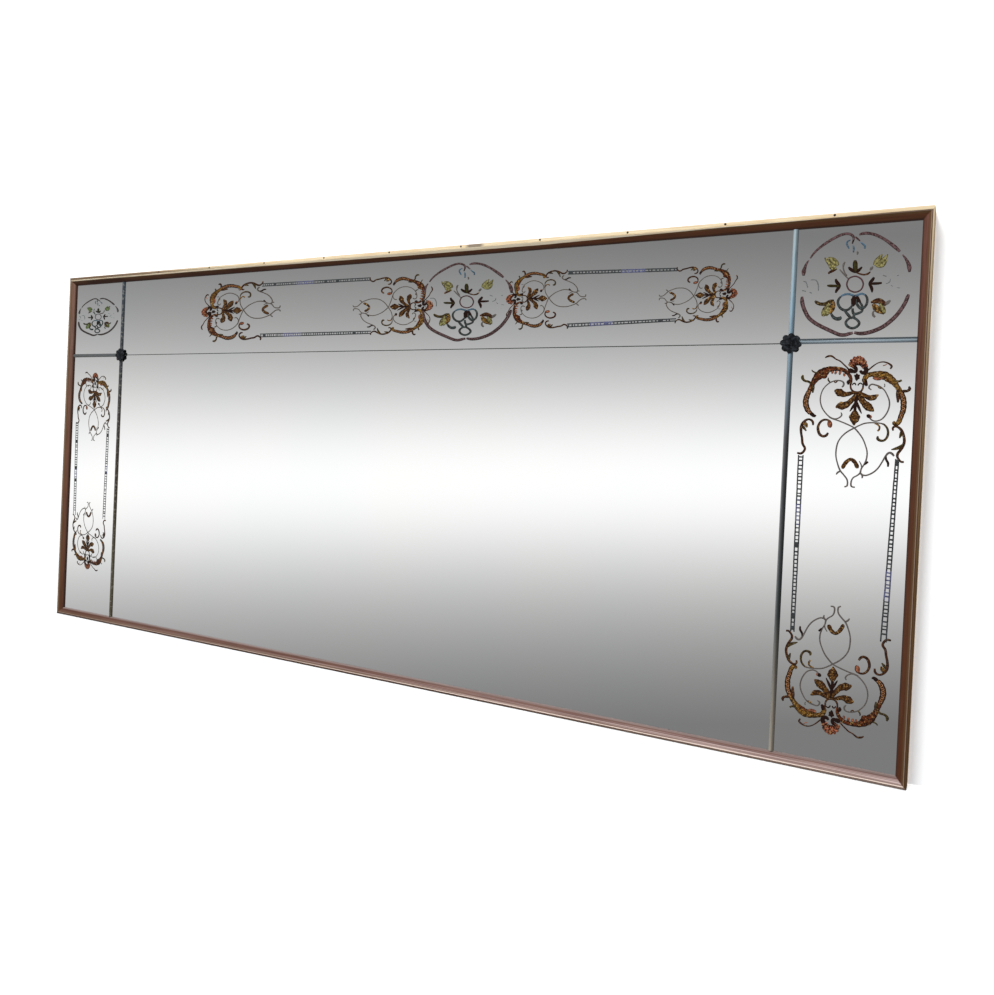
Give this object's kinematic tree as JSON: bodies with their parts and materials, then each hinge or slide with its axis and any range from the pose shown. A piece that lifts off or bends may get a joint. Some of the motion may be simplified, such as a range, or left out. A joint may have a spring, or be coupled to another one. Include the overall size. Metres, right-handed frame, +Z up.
{
  "type": "bistro mirror",
  "caption": "Long wall mirror of joined silvered panes in a mitred wooden moulding, with glass joint strips, metal rosettes and two folding hanging rings.",
  "frame": {"origin": "on the wall face of the centre batten, level with the middle of the sight opening", "axes": "+X along the mirror to the right as seen from the room, +Y into the wall, +Z up; the glass faces -Y"},
  "size_m": [2.358, 0.0412, 1.028],
  "materials": {
    "stained_wood": "dark walnut stain, worn satin varnish, raw outer side",
    "pale_wood": "raw pine, yellowed",
    "batten_wood": "sawn pine, unfinished",
    "plywood": "unfinished plywood",
    "mirror_glass": "silvered float glass",
    "strip_glass": "half-round silvered glass, darkened with age",
    "dark_iron": "black patinated casting",
    "nail_iron": "dark oxidised iron",
    "screw_steel": "dull zinc plate",
    "hanger_steel": "zinc plate",
    "backing_paper": "brown kraft paper",
    "cork": "cork slips",
    "felt": "grey felt",
    "ornament_paint": null
  },
  "bodies": {
    "mirror": {"backing_board": "plywood", "backing_paper": "backing_paper", "batten_bottom": "batten_wood", "batten_centre": "batten_wood", "batten_inner_left": "batten_wood", "batten_inner_right": "batten_wood", "batten_left": "batten_wood", "batten_right": "batten_wood", "batten_top": "batten_wood", "board_screws": "screw_steel", "frame_screws": "screw_steel", "glass_packing": "cork", "hanger_block_left": "batten_wood", "hanger_block_right": "batten_wood", "hanger_screws": "screw_steel", "hanger_strap_left": "hanger_steel", "hanger_strap_right": "hanger_steel", "pane_centre": "mirror_glass", "pane_corner_left": "mirror_glass", "pane_corner_right": "mirror_glass", "pane_frieze": "mirror_glass", "pane_side_left": "mirror_glass", "pane_side_right": "mirror_glass", "rail_bottom": "stained_wood", "rail_top": "stained_wood", "rosette_bolts": "dark_iron", "rosette_left": "dark_iron", "rosette_nuts": "screw_steel", "rosette_pads": "felt", "rosette_right": "dark_iron", "rosette_washers": "screw_steel", "slip_nails": "nail_iron", "stile_left": "stained_wood", "stile_right": "stained_wood", "strip_left_cross": "strip_glass", "strip_left_lower": "strip_glass", "strip_left_upper": "strip_glass", "strip_right_cross": "strip_glass", "strip_right_lower": "strip_glass", "strip_right_upper": "strip_glass", "top_slip": "pale_wood"},
    "ring_left": {"hanger_ring_left": "hanger_steel"},
    "ring_right": {"hanger_ring_right": "hanger_steel"}
  },
  "joints": [
    {"name": "swing_left", "type": "hinge", "parent": "mirror", "child": "ring_left", "pos_m": [-1.109, -0.004, 0.3], "axis": [1, 0, 0], "range_deg": [0, 180]},
    {"name": "swing_right", "type": "hinge", "parent": "mirror", "child": "ring_right", "pos_m": [1.109, -0.004, 0.3], "axis": [1, 0, 0], "range_deg": [0, 180]}
  ]
}
